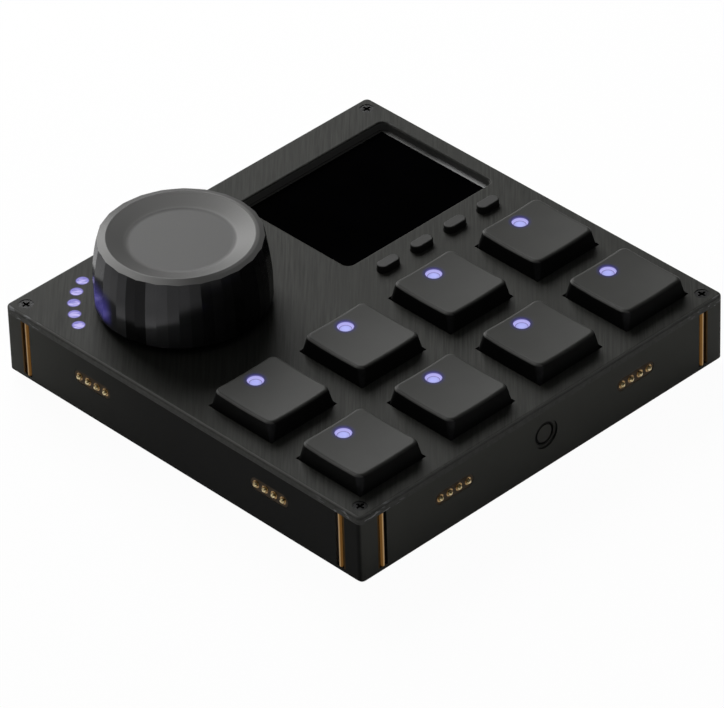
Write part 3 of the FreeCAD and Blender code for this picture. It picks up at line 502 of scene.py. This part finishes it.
def button_finish():
    """Satin dark grey of the four pill-shaped buttons."""
    g = Graph("button", (0.041, 0.041, 0.039), 0.45, specular=0.06)
    g.color(g.mix(g.noise(300, 2), (0.036, 0.036, 0.0344), (0.046, 0.046, 0.0440)))
    g.surface(g.noise(8000, 3), 0.4, 0.52, 0.000008, 0.5)
    return g.material


def rod_finish():
    """Drawn brass, with painted shade in dark brown on its flanks where it turns into its groove."""
    g = Graph("rod_brass", (0.72, 0.53, 0.28), 0.3, metallic=1.0)
    nx, ny, _ = g.facing()
    sideways = g.plus(g.size(nx), g.size(ny))
    streak = g.noise(3000, 4, g.place(scale=UPRIGHT))
    unshaded_brass = g.mix(streak, (0.22, 0.130, 0.048), (0.46, 0.300, 0.130))
    # painted shade: the flanks, where the normal turns towards the groove, are dark brown
    g.color(g.mix(g.span(sideways, 1.04, 1.26), unshaded_brass, (0.13, 0.060, 0.014)))
    g.surface(streak, 0.26, 0.36, 0.000004, 0.4)
    return g.material


def pin_finish(number):
    """Gold plating, with a painted highlight on the four tips of a contact and painted shade in brown in
    their collars.
    """
    name = "contact_pins_%d" % number
    g = Graph(name, (0.62, 0.47, 0.22), 0.3, metallic=0.6)
    low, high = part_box(name)
    centre = middle(name)
    x, y, z = g.axes()
    along, place = (x, centre.x) if high.x - low.x > high.y - low.y else (y, centre.y)
    far = g.radius(g.repeat(along, place + PIN_PITCH / 2, PIN_PITCH), g.minus(z, centre.z))
    tone = g.noise(2500, 3)
    patches = g.span(tone, 0.35, 0.6)
    tip_highlight = g.mix(patches, (0.36, 0.26, 0.10), (0.80, 0.66, 0.38))
    collar_shade = g.mix(patches, (0.13, 0.060, 0.012), (0.40, 0.24, 0.075))
    g.color(g.mix(g.span(far, 0.00050, 0.00062), tip_highlight, collar_shade))
    g.surface(tone, 0.22, 0.34, 0.000004, 0.3)
    return g.material


def metal_finish(name, dark, light, roughness, stretch=(1, 1, 1)):
    """Drawn or turned metal: streaks of tone and gloss along one way."""
    g = Graph(name, light, roughness, metallic=1.0)
    streak = g.noise(3000, 4, g.place(scale=stretch))
    g.color(g.mix(streak, dark, light))
    g.surface(streak, roughness * 0.8, roughness * 1.25, 0.000004, 0.4)
    return g.material


def plastic_finish(name, dark, light, roughness, specular=0.35):
    """Plastic with a fine grain and faint clouds of tone."""
    g = Graph(name, light, roughness, specular=specular)
    g.color(g.mix(g.noise(PLASTIC_GRAIN / 30, 3), dark, light))
    g.surface(g.noise(PLASTIC_GRAIN, 3), roughness * 0.9, min(1.0, roughness * 1.1), 0.00001, 0.4)
    return g.material


def panel_finish():
    """Display frame whose ledge beside the glass carries a painted reflection, pale at the front and dark
    at the back.
    """
    g = Graph("panel", (0.25, 0.25, 0.25), 0.5, specular=0.2)
    low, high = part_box("display_glass")
    depth = high.y - low.y
    y = g.axes()[1]
    pale = g.mix(g.noise(170, 3), (0.22, 0.22, 0.22), (0.32, 0.32, 0.32))
    # painted reflection: the ledge is pale towards the front and dark towards the back
    front = g.span(y, low.y + 0.62 * depth, low.y + 0.30 * depth)
    g.color(g.mix(front, (0.075, 0.075, 0.072), pale))
    g.surface(g.noise(PLASTIC_GRAIN, 3), 0.45, 0.55, 0.00001, 0.4)
    return g.material


def glass_finish():
    """Black cover glass whose coating lets almost nothing back."""
    g = Graph("display_glass", (0.0012, 0.0012, 0.0014), 0.12, specular=0.0)
    smear = g.noise(90, 4)
    g.color(g.mix(smear, (0.0003, 0.0003, 0.0004), (0.0012, 0.0012, 0.0014)))
    g.roughness(smear, 0.08, 0.2)
    return g.material


# the finishes on the nodes

def dress(obj, material, angle=32):
    """Gives a CAD node its finish and smooth curved faces."""
    obj.data.shade_smooth()
    obj.data.set_sharp_from_angle(angle=math.radians(angle))
    if not obj.data.materials:
        obj.data.materials.append(material)
    for slot in obj.material_slots:
        slot.material = material


def dress_twice(obj, top, side, is_top, angle=32):
    """Gives a CAD node two finishes, the first for the faces that a test picks."""
    dress(obj, side, angle)
    obj.data.materials.append(top)
    place = len(obj.data.materials) - 1
    for face in obj.data.polygons:
        if is_top(face):
            face.material_index = place


def dress_knob():
    """Satin top on the rim and the dish, glossy flats round them."""
    dish_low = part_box("knob_cap")[1].z - 0.0024
    dress_twice(nodes["knob_cap"], knob_top_finish(), knob_side_finish(),
                lambda face: face.normal.z > 0.5 and face.center.z > dish_low, angle=12)


def dress_keys():
    """Keycaps, with a little shine on their tops and on the walls of their windows' holes."""
    window = key_window_finish()
    stem = plastic_finish("stem", (0.3, 0.08, 0.06), (0.42, 0.12, 0.1), 0.45)
    top = keycap_finish("keycap", 0.035)
    side = keycap_finish("keycap_side", 0.0)
    dress(nodes["key_leds"], window)
    for number in KEYS:
        axis = middle("keycap_lens_%d" % number)
        dress_twice(nodes["keycap_%d" % number], top, side,
                    lambda face: face.normal.z > 0.5 or (face.center.xy - axis.xy).length < 0.0018)
        dress(nodes["keycap_lens_%d" % number], window)
        dress(nodes["switch_stem_%d" % number], stem)


def dress_buttons_and_pins():
    button = button_finish()
    for number in SOFT_BUTTONS:
        dress(nodes["soft_button_%d" % number], button)
    for number in CONTACTS:
        dress(nodes["contact_pins_%d" % number], pin_finish(number))


def dress_rest():
    """The nodes that have one finish each."""
    case_side = case_side_finish()
    steel = metal_finish("steel", (0.42, 0.42, 0.43), (0.6, 0.6, 0.62), 0.32)
    screw = metal_finish("screw", (0.004, 0.004, 0.004), (0.010, 0.010, 0.010), 0.5)
    brass = metal_finish("brass", (0.46, 0.31, 0.13), (0.74, 0.53, 0.26), 0.28, UPRIGHT)
    gold = metal_finish("gold", (0.62, 0.42, 0.17), (0.9, 0.66, 0.32), 0.24)
    black = plastic_finish("black_plastic", (0.010, 0.010, 0.010), (0.018, 0.018, 0.018), 0.5, 0.15)
    brown = plastic_finish("contact_plastic", (0.040, 0.024, 0.010), (0.056, 0.035, 0.016), 0.55, 0.1)
    white = plastic_finish("white_plastic", (0.6, 0.6, 0.58), (0.75, 0.75, 0.73), 0.45)
    rubber = plastic_finish("rubber", (0.012, 0.012, 0.012), (0.022, 0.022, 0.022), 0.8, 0.15)
    board = plastic_finish("board", (0.01, 0.04, 0.02), (0.02, 0.07, 0.035), 0.4, 0.4)
    status_light = status_light_finish()
    finishes = {
        "top_plate": case_top_finish(),
        "lower_case": case_side,
        "side_button": case_side,
        "corner_screws": screw,
        "threaded_inserts": brass,
        "side_rods": rod_finish(),
        "rubber_feet": rubber,
        "main_board": board,
        "board_screws": steel,
        "controller_chip": black,
        "display_panel": panel_finish(),
        "display_glass": glass_finish(),
        "encoder_shaft": steel,
        "encoder_body": black,
        "encoder_nut": steel,
        "knob_push_actuator": white,
        "status_light_pipes": status_light,
        "status_leds": status_light,
        "pin_blocks": brown,
        "target_blocks": brown,
        "target_contacts": gold,
        "side_switch": black,
        "usb_port": steel,
        "usb_tongue": black,
        "switch_housings": black,
        "tact_switches": black,
    }
    for name, material in finishes.items():
        dress(nodes[name], material)


# studio

FLOOR_RADIUS = 3.0
FLOOR_SIDES = 48
FLOOR_DROP = 0.00005
FLOOR_TONE = 0.90
FLOOR_SEEN_TONE = 0.95
SHADOW_SHARE = 0.03
BACKDROP = Vector((-0.45, 0.85, 0.25)).normalized()
ROOM_LIGHT = 0.05
LAMP_TARGET = (0, 0, 0.01)


def ray_flag(tree, *outputs):
    """Greatest of some of the light path's flags."""
    path = tree.nodes.new("ShaderNodeLightPath")
    value = path.outputs[outputs[0]]
    for name in outputs[1:]:
        node = tree.nodes.new("ShaderNodeMath")
        node.operation = "MAXIMUM"
        tree.links.new(value, node.inputs[0])
        tree.links.new(path.outputs[name], node.inputs[1])
        value = node.outputs[0]
    return value


def floor_material():
    """White that keeps a soft shadow; the light that it throws up is that of a grey table."""
    material = bpy.data.materials.new("floor")
    material.use_nodes = True
    tree = material.node_tree
    tree.nodes.clear()
    seen = ray_flag(tree, "Is Camera Ray", "Is Glossy Ray", "Is Transmission Ray")
    tone = tree.nodes.new("ShaderNodeMix")
    tone.data_type = "RGBA"
    tone.inputs[6].default_value = (FLOOR_TONE, FLOOR_TONE, FLOOR_TONE, 1)
    tone.inputs[7].default_value = (FLOOR_SEEN_TONE, FLOOR_SEEN_TONE, FLOOR_SEEN_TONE, 1)
    tree.links.new(seen, tone.inputs[0])
    diffuse = tree.nodes.new("ShaderNodeBsdfDiffuse")
    tree.links.new(tone.outputs[2], diffuse.inputs["Color"])
    white = tree.nodes.new("ShaderNodeEmission")
    white.inputs["Strength"].default_value = 1.0
    share = tree.nodes.new("ShaderNodeMath")
    share.operation = "MULTIPLY"
    share.inputs[1].default_value = 1.0 - SHADOW_SHARE
    tree.links.new(seen, share.inputs[0])
    blend = tree.nodes.new("ShaderNodeMixShader")
    tree.links.new(share.outputs[0], blend.inputs[0])
    tree.links.new(diffuse.outputs[0], blend.inputs[1])
    tree.links.new(white.outputs[0], blend.inputs[2])
    out = tree.nodes.new("ShaderNodeOutputMaterial")
    tree.links.new(blend.outputs[0], out.inputs["Surface"])
    return material


def make_floor():
    """Round floor just under the feet."""
    mesh = bpy.data.meshes.new("floor")
    maker = bmesh.new()
    angles = [2 * math.pi * i / FLOOR_SIDES for i in range(FLOOR_SIDES)]
    maker.faces.new([maker.verts.new((FLOOR_RADIUS * math.cos(a), FLOOR_RADIUS * math.sin(a), -FLOOR_DROP))
                     for a in angles])
    maker.to_mesh(mesh)
    maker.free()
    mesh.materials.append(floor_material())
    floor = bpy.data.objects.new("floor", mesh)
    scene.collection.objects.link(floor)


def make_world():
    """White to the camera; a white backdrop behind and a dark room in front for reflections."""
    world = bpy.data.worlds.new("studio")
    world.use_nodes = True
    tree = world.node_tree
    tree.nodes.clear()
    where = tree.nodes.new("ShaderNodeTexCoord")
    dot = tree.nodes.new("ShaderNodeVectorMath")
    dot.operation = "DOT_PRODUCT"
    tree.links.new(where.outputs["Generated"], dot.inputs[0])
    dot.inputs[1].default_value = BACKDROP
    ramp = tree.nodes.new("ShaderNodeMapRange")
    ramp.interpolation_type = "SMOOTHSTEP"
    for name, value in (("From Min", 0.0), ("From Max", 0.95), ("To Min", 0.03), ("To Max", 1.0)):
        ramp.inputs[name].default_value = value
    tree.links.new(dot.outputs["Value"], ramp.inputs["Value"])
    mirror = tree.nodes.new("ShaderNodeBackground")
    tree.links.new(ramp.outputs["Result"], mirror.inputs["Strength"])
    ambient = tree.nodes.new("ShaderNodeBackground")
    ambient.inputs["Color"].default_value = (0.97, 0.98, 1.0, 1)
    ambient.inputs["Strength"].default_value = ROOM_LIGHT
    white = tree.nodes.new("ShaderNodeBackground")
    white.inputs["Strength"].default_value = 1.0
    unseen = tree.nodes.new("ShaderNodeMixShader")
    tree.links.new(ray_flag(tree, "Is Glossy Ray", "Is Transmission Ray"), unseen.inputs[0])
    tree.links.new(ambient.outputs[0], unseen.inputs[1])
    tree.links.new(mirror.outputs[0], unseen.inputs[2])
    whole = tree.nodes.new("ShaderNodeMixShader")
    tree.links.new(ray_flag(tree, "Is Camera Ray"), whole.inputs[0])
    tree.links.new(unseen.outputs[0], whole.inputs[1])
    tree.links.new(white.outputs[0], whole.inputs[2])
    out = tree.nodes.new("ShaderNodeOutputWorld")
    tree.links.new(whole.outputs[0], out.inputs["Surface"])
    scene.world = world


def area_lamp(name, position, side, power):
    """Square lamp that points at the part."""
    data = bpy.data.lights.new(name, "AREA")
    data.shape = "RECTANGLE"
    data.size = data.size_y = side
    data.energy = power
    lamp = bpy.data.objects.new(name, data)
    lamp.location = position
    lamp.rotation_mode = "QUATERNION"
    lamp.rotation_quaternion = (Vector(LAMP_TARGET) - Vector(position)).to_track_quat("-Z", "Y")
    scene.collection.objects.link(lamp)


# camera

PHOTO_WIDTH = 724
FOCAL_PIXELS = 6476.4
SENSOR = 36.0
CAMERA_PLACE = (-0.7143651, -0.7565480, 0.7697308)
CAMERA_RIGHT = Vector((0.7138620, -0.6997935, -0.0262719))
CAMERA_DOWN = Vector((-0.4304496, -0.4088935, -0.8046858))
CAMERA_AHEAD = Vector((0.5523715, 0.5857433, -0.5931193))


def make_camera():
    """The photograph's camera, solved from the case's corners and edges."""
    data = bpy.data.cameras.new("camera")
    data.sensor_fit = "HORIZONTAL"
    data.sensor_width = SENSOR
    data.lens = SENSOR * FOCAL_PIXELS / PHOTO_WIDTH
    data.clip_start = 0.05
    data.clip_end = 20.0
    camera = bpy.data.objects.new("camera", data)
    turn = Matrix((CAMERA_RIGHT, -CAMERA_DOWN, -CAMERA_AHEAD)).transposed().to_4x4()
    camera.matrix_world = Matrix.Translation(CAMERA_PLACE) @ turn
    scene.collection.objects.link(camera)
    scene.camera = camera


dress_rest()
dress_knob()
dress_keys()
dress_buttons_and_pins()
make_floor()
make_world()
area_lamp("back", (0.27, 0.60, 0.47), 0.5, 8.0)
area_lamp("above", (0.0, 0.15, 1.1), 0.7, 0.5)
make_camera()

scene.view_settings.view_transform = "Standard"
